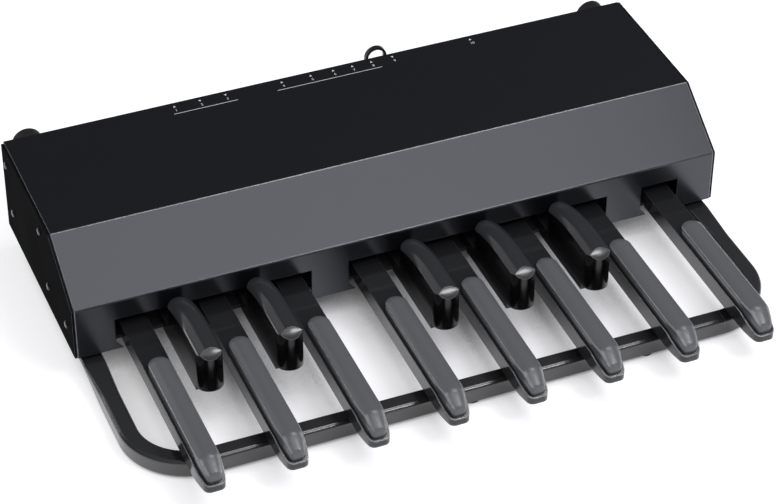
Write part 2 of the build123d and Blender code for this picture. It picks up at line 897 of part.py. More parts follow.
with BuildPart() as cord_hook:
    hook_plane = Plane.XZ.offset(-(ahead(0) + hook_standoff))
    hook_face = ahead(0) + hook_standoff + hook_depth
    hook_opening = (hook_height - 2 * hook_band, hook_width - 2 * hook_band)
    with BuildSketch(hook_plane):
        with Locations((hook_x, hook_base_bottom + hook_height / 2)):
            SlotOverall(hook_height, hook_width, rotation=90)
            SlotOverall(*hook_opening, rotation=90, mode=Mode.SUBTRACT)
    extrude(amount=-hook_depth)
    box_between(
        (hook_x - hook_base_width / 2, ahead(0), hook_base_bottom),
        (hook_x + hook_base_width / 2, hook_face, hook_base_bottom + hook_base_height),
    )
write(cord_hook.part, "cord_hook")


# Pedals


def relief_and_bore(x, width):
    """Cut the arm clear of the bottom plate and bore it for the pivot rod."""
    box_between(
        (x - width, ahead(skirt_depth - relief_setback), arm_bottom - arm_wall),
        (x + width, ahead(relief_start), relief_bottom),
        mode=Mode.SUBTRACT,
    )
    with BuildSketch(Plane.YZ.offset(x - width)) as bore:
        with Locations((pivot_y, pivot_height)):
            Circle(bore_radius)
    extrude(bore.sketch, amount=2 * width, mode=Mode.SUBTRACT)


def nose_plan(x, inset=0.0):
    """Blunt front of a natural pedal in plan: sides that draw in and a flat end with round corners."""
    half = natural_arm_width / 2 - inset
    front_half = nose_front_width / 2 - inset
    front_y = ahead(natural_reach - inset)
    with BuildSketch(Plane.XY) as plan:
        with BuildLine():
            left = TangentArc((x - half, ahead(nose_at)), (x - front_half, front_y), tangent=(0, -1))
            right = TangentArc((x + half, ahead(nose_at)), (x + front_half, front_y), tangent=(0, -1))
            Line(left @ 1, right @ 1)
            Line(left @ 0, right @ 0)
        make_face()
        fillet(plan.vertices().group_by(Axis.Y)[0], nose_corner - inset)
    return plan.sketch


def nose_slope(x, corner_y, corner_height):
    """Wedge on one side of the line that falls from the top of the arm to its tip."""
    with BuildSketch(Plane.YZ.offset(x - natural_arm_width)) as wedge:
        with BuildLine():
            Polyline(
                (ahead(nose_at), arm_top),
                (ahead(natural_reach), nose_edge_height),
                (corner_y, corner_height),
                close=True,
            )
        make_face()
    return wedge.sketch


def natural_arm(x):
    """Inverted channel with a blunt nose whose top slopes down to the tip."""
    outer_nose = nose_plan(x)
    inner_nose = nose_plan(x, arm_wall)
    above_nose = nose_slope(x, ahead(natural_reach), arm_top)
    with BuildPart() as arm:
        with BuildSketch(Plane.XY.offset(arm_bottom)):
            add(outer_nose)
            with Locations((x, ahead(nose_at))):
                rearward = (Align.CENTER, Align.MIN)
                Rectangle(natural_arm_width, nose_at - arm_rear, align=rearward)
        extrude(amount=arm_height)
        extrude(above_nose, amount=2 * natural_arm_width, mode=Mode.SUBTRACT)
        # Hollow from below
        with BuildSketch(Plane.XY.offset(arm_bottom)):
            add(inner_nose)
        extrude(amount=nose_edge_height - arm_wall - arm_bottom, mode=Mode.SUBTRACT)
        channel_half = natural_arm_width / 2 - arm_wall
        box_between(
            (x - channel_half, ahead(nose_at - arm_wall), arm_bottom),
            (x + channel_half, ahead(arm_rear + arm_wall), web_bottom),
            mode=Mode.SUBTRACT,
        )
        relief_and_bore(x, natural_arm_width)
    return arm.part


def crown_section(x):
    """Section across a natural cap: flat seat, upright sides and a crowned top with round edges."""
    with BuildSketch(Plane.XZ) as section:
        with Locations((x, natural_cap_top - natural_cap_crown)):
            Circle(natural_cap_crown)
        with Locations((x, (arm_top + natural_cap_top) / 2)):
            Rectangle(natural_cap_width, natural_cap_height, mode=Mode.INTERSECT)
        fillet(section.vertices().group_by(Axis.Y)[-1], natural_cap_edge)
    return section.sketch_local


def natural_cap(x):
    """Crowned cap with a domed rear end and a blunt nose that bends down to the tip."""
    round_at = natural_cap_start + natural_cap_width / 2
    section = crown_section(x)
    nose = nose_plan(x, cap_margin)
    below_nose = nose_slope(x, ahead(nose_at), nose_edge_height)
    with BuildPart() as cap:
        # Nose: upright sides, cut to a crown that is carried forward and down
        with BuildSketch(Plane.XY.offset(nose_edge_height)):
            add(nose)
        extrude(amount=natural_cap_top - nose_edge_height)
        with BuildLine(Plane.YZ.offset(x)) as top_line:
            level = Line((ahead(nose_at), natural_cap_top), (ahead(natural_fall_at), natural_cap_top))
            fall = JernArc(level @ 1, level % 1, natural_fall_bend, natural_fall_angle)
            Line(fall @ 1, fall @ 1 + (fall % 1) * natural_fall_length)
        with BuildSketch(Plane.XZ.offset(-ahead(nose_at))):
            with Locations((x, natural_cap_top)):
                Rectangle(natural_arm_width, 2 * natural_cap_height)
            with Locations((x, natural_cap_top - natural_cap_crown)):
                Circle(natural_cap_crown, mode=Mode.SUBTRACT)
        sweep(path=top_line.wire(), mode=Mode.SUBTRACT)
        crown_edges = cap.faces().filter_by(lambda face: face.normal_at().Z > crown_lean).edges()
        walls = cap.faces().filter_by(lambda face: abs(face.normal_at().Z) < crown_lean)
        upper_edges = [edge for edge in walls.edges() if edge in crown_edges]
        fillet([edge for edge in upper_edges if edge.center().Y < ahead(nose_at + fit_gap)], natural_cap_edge)
        extrude(below_nose, amount=2 * natural_arm_width, mode=Mode.SUBTRACT)
        # Straight run
        with BuildSketch(Plane.XZ.offset(-ahead(round_at))):
            add(section)
        extrude(amount=nose_at - round_at)
        # Domed rear end
        with BuildSketch(Plane.XZ.offset(-ahead(round_at))):
            add(section)
            with Locations((x, arm_top)):
                right_half = (Align.MIN, Align.MIN)
                Rectangle(natural_cap_width, natural_cap_height, align=right_half, mode=Mode.INTERSECT)
        revolve(axis=Axis((x, ahead(round_at), 0), (0, 0, 1)), revolution_arc=180)
    return cap.part


def sharp_arm(x):
    """Narrower inverted channel that ends under the tall cap."""
    with BuildPart() as arm:
        box_between(
            (x - sharp_arm_width / 2, ahead(sharp_arm_reach), arm_bottom),
            (x + sharp_arm_width / 2, ahead(arm_rear), arm_top),
        )
        channel_half = sharp_arm_width / 2 - arm_wall
        box_between(
            (x - channel_half, ahead(sharp_arm_reach - arm_wall), arm_bottom),
            (x + channel_half, ahead(arm_rear + arm_wall), web_bottom),
            mode=Mode.SUBTRACT,
        )
        relief_and_bore(x, sharp_arm_width)
    return arm.part


def sharp_cap(x):
    """Tall drafted cap over the arm, with a crowned top that falls to the rear and a bevelled nose."""
    with BuildPart() as cap:
        levels = ((sharp_cap_bottom, 0.0), (sharp_shoulder, 0.0), (sharp_cap_top, sharp_facet_length))
        for height, setback in levels:
            inset = sharp_cap_draft * (height - sharp_cap_bottom)
            half = sharp_cap_width / 2 - inset
            front_round_at = sharp_reach - inset - setback - sharp_front_round
            rear_round_at = sharp_cap_start + inset + half
            with BuildSketch(Plane.XY.offset(height)):
                with Locations((x, ahead(front_round_at))):
                    Ellipse(half, sharp_front_round)
                    rearward = (Align.CENTER, Align.MIN)
                    Rectangle(2 * half, front_round_at - rear_round_at, align=rearward)
                with Locations((x, ahead(rear_round_at))):
                    Circle(half)
        loft(ruled=True)
        # Crown carried along the top
        with BuildLine(Plane.YZ.offset(x)) as top_line:
            level_end = ahead(sharp_reach - sharp_level_length)
            level = Line((ahead(sharp_reach), sharp_cap_top), (level_end, sharp_cap_top))
            JernArc(level @ 1, level % 1, sharp_fall_radius, -sharp_fall_turn)
        with BuildSketch(Plane.XZ.offset(-ahead(sharp_reach))):
            with Locations((x, sharp_cap_top)):
                Rectangle(sharp_cap_width, 2 * sharp_cap_crown)
            with Locations((x, sharp_cap_top - sharp_cap_crown)):
                Circle(sharp_cap_crown, mode=Mode.SUBTRACT)
        sweep(path=top_line.wire(), mode=Mode.SUBTRACT)
        # Seat over the arm
        seat_half = sharp_arm_width / 2 + sharp_cap_fit
        box_between(
            (x - seat_half, ahead(sharp_arm_reach + sharp_cap_fit), sharp_cap_bottom),
            (x + seat_half, ahead(sharp_cap_start), arm_top),
            mode=Mode.SUBTRACT,
        )
    return cap.part


for number, x in enumerate(natural_places, 1):
    write(natural_arm(x), f"natural_arm_{number}")
    write(natural_cap(x), f"natural_cap_{number}")

for number, x in enumerate(sharp_places, 1):
    write(sharp_arm(x), f"sharp_arm_{number}")
    write(sharp_cap(x), f"sharp_cap_{number}")
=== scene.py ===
import json
import math

import bmesh
import bpy
from mathutils import Matrix, Vector


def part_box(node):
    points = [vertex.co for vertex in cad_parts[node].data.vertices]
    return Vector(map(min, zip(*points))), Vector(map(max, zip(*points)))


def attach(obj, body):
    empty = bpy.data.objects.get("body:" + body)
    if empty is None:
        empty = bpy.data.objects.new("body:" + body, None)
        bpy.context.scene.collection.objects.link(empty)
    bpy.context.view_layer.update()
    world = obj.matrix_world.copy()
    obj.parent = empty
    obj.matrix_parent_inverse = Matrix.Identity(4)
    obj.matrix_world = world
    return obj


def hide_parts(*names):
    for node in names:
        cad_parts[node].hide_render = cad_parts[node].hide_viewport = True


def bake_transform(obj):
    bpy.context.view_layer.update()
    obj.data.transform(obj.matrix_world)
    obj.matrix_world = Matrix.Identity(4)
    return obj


# Bass pedalboard: looks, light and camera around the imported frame. Metres, +Z up, pedals point to -Y.

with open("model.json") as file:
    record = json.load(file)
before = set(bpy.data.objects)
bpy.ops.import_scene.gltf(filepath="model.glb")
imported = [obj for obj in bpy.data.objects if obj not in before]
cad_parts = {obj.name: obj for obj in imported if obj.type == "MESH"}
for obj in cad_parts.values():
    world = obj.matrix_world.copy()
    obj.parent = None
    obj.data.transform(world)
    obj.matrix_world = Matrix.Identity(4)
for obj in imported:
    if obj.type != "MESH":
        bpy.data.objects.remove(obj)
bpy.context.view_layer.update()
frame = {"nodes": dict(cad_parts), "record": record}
nodes = frame["nodes"]
scene = bpy.context.scene
scene.view_settings.view_transform = "Standard"

MM = 0.001

# Places taken from the frame itself
REAR_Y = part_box("rear_panel")[1][1]
TOP_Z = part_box("top_cover")[1][2]
SIDE_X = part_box("right_end_plate")[1][0]

# Fittings on the rear panel: their height, and their places across in millimetres
FITTING_Z = 62.0 * MM
SOCKET_PLACES = (-132.0, -109.65, -87.3)
JACK_PLACE = -37.8
KNOB_PLACES = (-12.0, 8.1, 25.4, 42.7)
SUPPLY_PLACE, SWITCH_PLACE = 62.1, 133.4


# Materials: fine moulded or painted grain, with slight drifts of tone and gloss, and soft edges


def node_link(tree, source, target):
    """Join an output to an input."""
    tree.links.new(source, target)


def noise(tree, coordinates, scale, detail=3.0, roughness=0.5):
    """Noise texture at this many cells per metre."""
    texture = tree.nodes.new("ShaderNodeTexNoise")
    texture.inputs["Scale"].default_value = scale
    texture.inputs["Detail"].default_value = detail
    texture.inputs["Roughness"].default_value = roughness
    node_link(tree, coordinates, texture.inputs["Vector"])
    return texture.outputs["Fac"]


def spread(tree, factor, low, high, start=0.3, end=0.7):
    """Value that runs from low to high over part of a factor's range."""
    remap = tree.nodes.new("ShaderNodeMapRange")
    remap.inputs["From Min"].default_value = start
    remap.inputs["From Max"].default_value = end
    remap.inputs["To Min"].default_value = low
    remap.inputs["To Max"].default_value = high
    node_link(tree, factor, remap.inputs["Value"])
    return remap.outputs["Result"]


def rising(tree, factor, start, end):
    """Share that grows from 0 to 1 between two values of a factor."""
    return spread(tree, factor, 0.0, 1.0, start, end)


def falling(tree, factor, start, end):
    """Share that drops from 1 to 0 between two values of a factor."""
    return spread(tree, factor, 1.0, 0.0, start, end)


def blend_colours(tree, factor, first, second):
    """Colour between two colours or sockets."""
    mix = tree.nodes.new("ShaderNodeMix")
    mix.data_type = "RGBA"
    for socket, colour in (("A", first), ("B", second)):
        if isinstance(colour, tuple):
            mix.inputs[socket].default_value = (*colour, 1)
        else:
            node_link(tree, colour, mix.inputs[socket])
    node_link(tree, factor, mix.inputs["Factor"])
    return mix.outputs["Result"]


def arithmetic(tree, operation, first, second=None):
    """One or two factors put through an operation."""
    step = tree.nodes.new("ShaderNodeMath")
    step.operation = operation
    node_link(tree, first, step.inputs[0])
    if second is not None:
        node_link(tree, second, step.inputs[1])
    return step.outputs["Value"]


def product(tree, *factors):
    """All factors multiplied."""
    result = factors[0]
    for factor in factors[1:]:
        result = arithmetic(tree, "MULTIPLY", result, factor)
    return result


def components(tree, vector):
    """X, Y and Z of a vector."""
    split = tree.nodes.new("ShaderNodeSeparateXYZ")
    node_link(tree, vector, split.inputs[0])
    return split.outputs


def resting_place(tree):
    """X, Y and Z of the place on the surface, as it lies at rest."""
    return components(tree, tree.nodes.new("ShaderNodeTexCoord").outputs["Object"])


def edge_share(tree, rounded, full=0.75, none=0.98):
    """How far the softened normal leans off the face: 0 on flats, towards 1 on an outside edge."""
    geometry = tree.nodes.new("ShaderNodeNewGeometry")
    dot = tree.nodes.new("ShaderNodeVectorMath")
    dot.operation = "DOT_PRODUCT"
    node_link(tree, rounded, dot.inputs[0])
    node_link(tree, geometry.outputs["True Normal"], dot.inputs[1])
    return falling(tree, dot.outputs["Value"], full, none)


# Painted highlights: each of these takes the softened normal and gives the share of surface lightened as an
# edge highlight
END_HIGHLIGHT_WIDTH, END_HIGHLIGHT_FADE = 6.0 * MM, 2.0 * MM
LIP_HIGHLIGHT_FRONT, LIP_HIGHLIGHT_REAR, LIP_HIGHLIGHT_LEAST = -172.0 * MM, -40.0 * MM, 0.1


def crease_wear(tree, rounded):
    """Painted highlight on the cover: a light line along the fold under the top, and at both ends of slope
    and skirt.
    """
    lean = components(tree, rounded)
    sideways = arithmetic(tree, "ABSOLUTE", lean["X"])
    off_centre = arithmetic(tree, "ABSOLUTE", resting_place(tree)["X"])
    end_from = SIDE_X - END_HIGHLIGHT_WIDTH
    fold = product(
        tree,
        rising(tree, lean["Z"], 0.88, 0.93),
        falling(tree, lean["Z"], 0.975, 0.992),
        falling(tree, lean["Y"], -0.2, -0.08),
    )
    ends = product(
        tree,
        rising(tree, sideways, 0.12, 0.35),
        falling(tree, lean["Y"], -0.3, -0.2),
        rising(tree, off_centre, end_from - END_HIGHLIGHT_FADE, end_from),
    )
    return arithmetic(tree, "MAXIMUM", fold, ends)


def long_edges(tree, rounded):
    """Painted highlight along the rounded edges of a cap, halfway to its side, and a wider one beside its
    nose.
    """
    lean = components(tree, rounded)
    sideways = arithmetic(tree, "ABSOLUTE", lean["X"])
    not_yet_side = falling(tree, sideways, 0.86, 0.95)
    upward = rising(tree, lean["Z"], 0.2, 0.35)
    line = product(tree, rising(tree, sideways, 0.6, 0.7), not_yet_side, upward)
    forward = falling(tree, lean["Y"], -0.3, -0.12)
    beside = product(tree, rising(tree, sideways, 0.3, 0.5), forward, not_yet_side, upward)
    return arithmetic(tree, "MAXIMUM", line, beside)


def nose_lip(tree, rounded):
    """Painted highlight along upper edges of an arm, bright at the lip of its nose and fainter to the rear.
    """
    return product(
        tree,
        edge_share(tree, rounded, full=0.9, none=0.955),
        rising(tree, components(tree, rounded)["Z"], 0.1, 0.3),
        spread(tree, resting_place(tree)["Y"], 1.0, LIP_HIGHLIGHT_LEAST, LIP_HIGHLIGHT_FRONT, LIP_HIGHLIGHT_REAR),
    )


def front_edges(tree, rounded):
    """Painted highlight along edges that lean forward, such as the rim of a sharp's facet."""
    forward = falling(tree, components(tree, rounded)["Y"], -0.3, -0.15)
    return product(tree, edge_share(tree, rounded, full=0.9, none=0.985), forward)


def surface(
    name,
    colour,
    roughness,
    metallic=0.0,
    specular=0.5,
    tint=(1.0, 1.0, 1.0),
    grain=2500.0,
    depth=0.02,
    drift=0.08,
    gloss_drift=0.05,
    stretch=(1.0, 1.0, 1.0),
    sheen=0.0,
    edge=0.0,
    wear_and_highlight_colour=None,
    wear_and_highlight_share=edge_share,
    side=None,
    nose=None,
    scuffs=0.0,
):
    """Painted, moulded or metal surface.

    Grain is in cells per metre, its depth and the radius of soft edges in millimetres. The wear and highlight
    colour is mixed in where its share says so; on the cover, caps, arms, plates and frame that is a painted
    highlight along edges. The side colour on upright faces is a painted shade. A nose is the y where edges
    begin to grow rounder, the y where that ends, and the radius there, in millimetres.
    """
    material = bpy.data.materials.new(name)
    material.use_nodes = True
    tree = material.node_tree
    shader = tree.nodes["Principled BSDF"]
    shader.inputs["Metallic"].default_value = metallic
    shader.inputs["Specular IOR Level"].default_value = specular
    shader.inputs["Specular Tint"].default_value = (*tint, 1)
    shader.inputs["Sheen Weight"].default_value = sheen

    place = tree.nodes.new("ShaderNodeTexCoord")
    mapping = tree.nodes.new("ShaderNodeMapping")
    mapping.inputs["Scale"].default_value = stretch
    node_link(tree, place.outputs["Object"], mapping.inputs["Vector"])
    coordinates = mapping.outputs["Vector"]

    darker = tuple(channel * (1 - drift) for channel in colour)
    lighter = tuple(channel * (1 + drift) for channel in colour)
    tone = blend_colours(tree, noise(tree, coordinates, grain * 0.3, detail=4.0), darker, lighter)
    # Upright faces take the side colour, a painted shade that keeps them darker than the top
    if side:
        lean = components(tree, tree.nodes.new("ShaderNodeNewGeometry").outputs["True Normal"])
        tone = blend_colours(tree, rising(tree, lean["Z"], 0.15, 0.5), side, tone)

    drifting = noise(tree, coordinates, grain * 0.012, detail=5.0)
    gloss = spread(tree, drifting, roughness - gloss_drift, roughness + gloss_drift)
    if scuffs:
        lines = tree.nodes.new("ShaderNodeMapping")
        lines.inputs["Scale"].default_value = (1.0, 0.06, 1.0)
        lines.inputs["Rotation"].default_value = (0.0, 0.0, 0.35)
        node_link(tree, place.outputs["Object"], lines.inputs["Vector"])
        streaks = noise(tree, lines.outputs["Vector"], 900.0, detail=6.0, roughness=0.7)
        gloss = arithmetic(tree, "ADD", gloss, spread(tree, streaks, 0.0, scuffs, 0.56, 0.74))
    node_link(tree, gloss, shader.inputs["Roughness"])

    relief = tree.nodes.new("ShaderNodeBump")
    relief.inputs["Strength"].default_value = 1.0
    relief.inputs["Distance"].default_value = depth * MM
    node_link(tree, noise(tree, coordinates, grain, detail=2.0), relief.inputs["Height"])
    if edge:
        rounding = tree.nodes.new("ShaderNodeBevel")
        rounding.samples = 6
        rounding.inputs["Radius"].default_value = edge * MM
        if nose:
            start, end, radius = (length * MM for length in nose)
            rounder = spread(tree, resting_place(tree)["Y"], radius, edge * MM, end, start)
            node_link(tree, rounder, rounding.inputs["Radius"])
        node_link(tree, rounding.outputs["Normal"], relief.inputs["Normal"])
        # Mix in the second colour along edges: a painted highlight on cover, caps, arms, plates and frame,
        # plain lightening on the rear plates and screws
        if wear_and_highlight_colour:
            patchy = spread(tree, noise(tree, coordinates, 180.0, detail=4.0), 0.45, 1.0)
            share = product(tree, wear_and_highlight_share(tree, rounding.outputs["Normal"]), patchy)
            tone = blend_colours(tree, share, tone, wear_and_highlight_colour)
    node_link(tree, tone, shader.inputs["Base Color"])
    node_link(tree, relief.outputs["Normal"], shader.inputs["Normal"])
    return material


cover_paint = surface(
    "cover_paint",
    (0.007, 0.0072, 0.009),
    0.22,
    specular=0.86,
    tint=(0.88, 0.905, 1.0),
    grain=1500,
    depth=0.008,
    gloss_drift=0.008,
    edge=1.4,
    # painted highlight along the cover's fold and at its ends
    wear_and_highlight_colour=(0.5, 0.5, 0.52),
    wear_and_highlight_share=crease_wear,
)
panel_paint = surface(
    "panel_paint",
    (0.008, 0.0083, 0.0088),
    0.7,
    specular=0.004,
    grain=1500,
    depth=0.014,
    edge=0.7,
    # painted highlight along the forward-leaning edges of the plates
    wear_and_highlight_colour=(0.3, 0.3, 0.31),
    wear_and_highlight_share=front_edges,
)
rear_paint = surface(
    "rear_paint",
    (0.022, 0.0225, 0.024),
    0.5,
    specular=0.5,
    grain=1500,
    depth=0.014,
    edge=0.7,
    # lighter along its outside edges
    wear_and_highlight_colour=(0.12, 0.12, 0.125),
)
frame_paint = surface(
    "frame_paint",
    (0.024, 0.0242, 0.026),
    0.2,
    specular=0.95,
    grain=700,
    depth=0.002,
    gloss_drift=0.03,
    edge=0.5,
    # painted highlight: a thin light line along the edges of the tubes
    wear_and_highlight_colour=(0.3, 0.3, 0.31),
)
arm_plastic = surface(
    "arm_plastic",
    (0.0165, 0.0168, 0.0188),
    0.13,
    specular=0.55,
    grain=2600,
    depth=0.0008,
    gloss_drift=0.03,
    edge=0.9,
    # painted highlight along the arm's upper edges, brightest at the nose lip
    wear_and_highlight_colour=(0.85, 0.85, 0.86),
    wear_and_highlight_share=nose_lip,
    nose=(-160.0, -176.0, 2.4),
)
natural_plastic = surface(
    "natural_plastic",
    (0.135, 0.138, 0.148),
    0.2,
    specular=0.5,
    grain=3000,
    depth=0.0012,
    drift=0.05,
    gloss_drift=0.03,
    edge=1.0,
    # painted highlight along the cap's edges and beside its nose
    wear_and_highlight_colour=(0.5, 0.505, 0.52),
    wear_and_highlight_share=long_edges,
    nose=(-166.0, -178.0, 4.0),
    scuffs=0.05,
)
sharp_plastic = surface(
    "sharp_plastic",
    (0.034, 0.0345, 0.0385),
    0.15,
    specular=0.45,
    grain=700,
    depth=0.0003,
    gloss_drift=0.02,
    edge=0.9,
    # painted highlight on the rim of the facet
    wear_and_highlight_colour=(0.5, 0.5, 0.52),
    wear_and_highlight_share=front_edges,
    # near-black upright sides: painted shade
    side=(0.002, 0.002, 0.0022),
)
screw_black = surface(
    "screw_black",
    (0.045, 0.045, 0.047),
    0.28,
    metallic=1.0,
    grain=5000,
    depth=0.006,
    edge=0.12,
    # lighter along its outside edges
    wear_and_highlight_colour=(0.6, 0.6, 0.6),
)
plated_steel = surface(
    "plated_steel",
    (0.6, 0.6, 0.6),
    0.3,
    metallic=1.0,
    grain=4000,
    depth=0.004,
    stretch=(0.05, 1, 1),
    edge=0.2,
)
spring_steel = surface(
    "spring_steel",
    (0.42, 0.42, 0.43),
    0.28,
    metallic=1.0,
    grain=4000,
    depth=0.003,
    stretch=(1, 0.05, 1),
)
nylon = surface("nylon", (0.62, 0.61, 0.57), 0.5, grain=2600, depth=0.006)
felt = surface(
    "felt",
    (0.05, 0.05, 0.052),
    0.95,
    specular=0.1,
    grain=3600,
    depth=0.25,
    drift=0.35,
    sheen=0.4,
)
rubber = surface("rubber", (0.011, 0.011, 0.0112), 0.62, specular=0.35, grain=1500, depth=0.03, edge=0.6)
circuit_board = surface("circuit_board", (0.015, 0.11, 0.035), 0.35, grain=1200, depth=0.01, drift=0.25)
socket_plastic = surface(
    "socket_plastic",
    (0.010, 0.010, 0.0104),
    0.42,
    specular=0.45,
    grain=3200,
    depth=0.008,
    edge=0.3,
)
knob_plastic = surface(
    "knob_plastic",
    (0.014, 0.014, 0.0146),
    0.36,
    grain=3200,
    depth=0.008,
    edge=0.3,
    scuffs=0.08,
)
recess_metal = surface("recess_metal", (0.75, 0.75, 0.76), 0.45, metallic=0.3, grain=6000, depth=0.004)
contact_metal = surface("contact_metal", (0.72, 0.6, 0.34), 0.25, metallic=1.0, grain=6000, depth=0.002)
print_ink = surface("print_ink", (0.8, 0.805, 0.81), 0.5, grain=5200, depth=0.002, drift=0.12)
hole_shade_black = surface("hole_shade_black", (0.003, 0.003, 0.003), 0.6, specular=0.1, grain=4000, depth=0.002)

SLOT_MATERIALS = {
    "cover_paint": cover_paint,
    "panel_paint": panel_paint,
    "frame_paint": frame_paint,
    "arm_plastic": arm_plastic,
    "natural_cap_plastic": natural_plastic,
    "sharp_cap_plastic": sharp_plastic,
    "screw_black": screw_black,
    "plated_steel": plated_steel,
    "spring_steel": spring_steel,
    "spacer_plastic": nylon,
    "felt": felt,
    "rubber": rubber,
    "circuit_board": circuit_board,
    "socket_plastic": socket_plastic,
    "control_metal": plated_steel,
    "knob_plastic": knob_plastic,
}

for subpart in frame["record"]["subparts"]:
    piece = nodes[subpart["node"]]
    piece.data.materials.clear()
    piece.data.materials.append(SLOT_MATERIALS[subpart["material_slot"]])
for plate in ("rear_panel", "bottom_plate"):
    nodes[plate].data.materials.clear()
    nodes[plate].data.materials.append(rear_paint)


# Pieces made here


def add_piece(name, builder, material, body, smooth=False):
    """Piece from a finished shape, riding on a body of the frame if one is named."""
    mesh = bpy.data.meshes.new(name)
    bmesh.ops.recalc_face_normals(builder, faces=builder.faces)
    builder.to_mesh(mesh)
    builder.free()
    for polygon in mesh.polygons:
        polygon.use_smooth = smooth
    mesh.materials.append(material)
    made = bpy.data.objects.new(name, mesh)
    scene.collection.objects.link(made)
    if body:
        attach(made, body)
    return made


def ring_of(builder, radius, height, count):
    """Ring of points around +Z."""
    turns = [2 * math.pi * step / count for step in range(count)]
    return [builder.verts.new((radius * math.cos(a), radius * math.sin(a), height)) for a in turns]


def skin(builder, lower, upper):
    """Quads between two rings of the same count."""
    count = len(lower)
    for step in range(count):
        after = (step + 1) % count
        builder.faces.new((lower[step], lower[after], upper[after], upper[step]))


def turned(profile, count):
    """Closed body of revolution around +Z from (radius, height) pairs that form a closed outline."""
    builder = bmesh.new()
    rings = [ring_of(builder, radius, height, count) for radius, height in profile]
    for lower, upper in zip(rings, rings[1:] + rings[:1]):
        skin(builder, lower, upper)
    return builder


def cross_outline(builder, reach, half, height):
    """Twelve points of a cross."""
    plan = [(reach, half), (half, half), (half, reach), (-half, reach), (-half, half), (-reach, half)]
    plan += [(-x, -y) for x, y in plan]
    return [builder.verts.new((x, y, height)) for x, y in plan]


# Outlines of a screw, (radius, height) in millimetres
SCREW_HEAD = [(3.1, 0.0), (3.1, 0.45), (2.85, 0.95), (2.4, 1.3), (1.95, 1.46)]
SCREW_SHANK = [(1.5, 0.0), (1.5, -5.6), (1.2, -6.0)]
SCREW_SIDES = 24


def pan_head_screw():
    """Screw along +Z: domed head with a tapered cross recess, and its shank below."""
    builder = bmesh.new()
    rings = [ring_of(builder, radius * MM, height * MM, SCREW_SIDES) for radius, height in SCREW_HEAD]
    for lower, upper in zip(rings, rings[1:]):
        skin(builder, lower, upper)
    mouth = cross_outline(builder, reach=1.7 * MM, half=0.42 * MM, height=1.5 * MM)
    recess = cross_outline(builder, reach=1.2 * MM, half=0.28 * MM, height=0.75 * MM)
    before = set(builder.faces)
    skin(builder, mouth, recess)
    builder.faces.new(recess)
    for face in set(builder.faces) - before:
        face.material_index = 1
    crown = [edge for edge in builder.edges if all(point in rings[-1] for point in edge.verts)]
    lip = [edge for edge in builder.edges if all(point in mouth for point in edge.verts)]
    bmesh.ops.bridge_loops(builder, edges=crown + lip)
    shank = [ring_of(builder, radius * MM, height * MM, SCREW_SIDES) for radius, height in SCREW_SHANK]
    rings = rings[:1] + shank
    for lower, upper in zip(rings, rings[1:]):
        skin(builder, lower, upper)
    builder.faces.new(rings[-1])
    return builder


def merge(target, source, placing):
    """Add a shape to another one, placed."""
    source.transform(placing)
    carrier = bpy.data.meshes.new("carrier")
    source.to_mesh(carrier)
    source.free()
    target.from_mesh(carrier)
    bpy.data.meshes.remove(carrier)


def ahead(distance):
    """Y of a place this many millimetres in front of the rear edge."""
    return REAR_Y - distance * MM


# Cross-recess screws in both end plates, each turned its own way: (distance ahead, height) in millimetres
screw_places = [(11.5, 89.5), (104.7, 89.5), (21.2, 47.6), (119.6, 45.1), (167.3, 43.1)]
screws = bmesh.new()
for side in (-1, 1):
    for number, (distance, height) in enumerate(screw_places):
        outward = Matrix.Rotation(side * math.pi / 2, 4, "Y")
        twist = Matrix.Rotation(0.4 + 1.3 * number + 0.7 * side, 4, "Z")
        spot = Matrix.Translation((side * SIDE_X, ahead(distance), height * MM))
        merge(screws, pan_head_screw(), spot @ outward @ twist)
end_screws = add_piece("end_screws_cross_recess", screws, screw_black, "chassis")
end_screws.data.materials.append(recess_metal)
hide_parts("end_plate_screws")

# Sharp caps, with the flat lens-shaped facet that a straight cut leaves on the round front of the crown.
# Millimetres: half widths, heights, and distances ahead of the rear edge. The seat is the notch over the arm.
SHARP_HALF, SHARP_LOW, SHARP_SHOULDER, SHARP_TOP = 10.7, 35.5, 66.0, 73.0
SHARP_REAR_ROUND, SHARP_FRONT, SHARP_FRONT_ROUND = 201.0, 276.0, 9.5
SHARP_CROWN, SHARP_FALL, SHARP_LEVEL_FROM, SHARP_DRAFT = 13.5, 125.0, 240.0, 0.012
SHARP_FACET_REACH, SHARP_FACET_BULGE = 7.2, 0.6
SHARP_REAR_STEPS, SHARP_SIDE_STEPS, SHARP_FRONT_STEPS = 12, 24, 16
CROWN_SHARES = (1.0, 0.94, 0.86, 0.76, 0.64, 0.5, 0.34, 0.17, 0.0)
SEAT_HALF, SEAT_REAR, SEAT_FRONT, SEAT_LOW, SEAT_TOP = 9.8, 180.0, 260.6, 30.0, 41.3
CRISP_ANGLE = math.radians(28)


def sharp_plan(height):
    """Outline at a height: (sideways, distance ahead, distance of its spine) in millimetres, once round."""
    inset = SHARP_DRAFT * (height - SHARP_LOW)
    half = SHARP_HALF - inset
    front_at = SHARP_FRONT - inset - SHARP_FRONT_ROUND
    right = []
    for step in range(SHARP_REAR_STEPS + 1):
        angle = math.pi / (2 * SHARP_REAR_STEPS) * step
        right.append((half * math.sin(angle), SHARP_REAR_ROUND - half * math.cos(angle), SHARP_REAR_ROUND))
    for step in range(1, SHARP_SIDE_STEPS):
        along = SHARP_REAR_ROUND + (front_at - SHARP_REAR_ROUND) * step / SHARP_SIDE_STEPS
        right.append((half, along, along))
    for step in range(SHARP_FRONT_STEPS + 1):
        angle = math.pi / (2 * SHARP_FRONT_STEPS) * step
        right.append((half * math.cos(angle), front_at + SHARP_FRONT_ROUND * math.sin(angle), front_at))
    return right + [(-x, along, spine) for x, along, spine in right[-2:0:-1]]


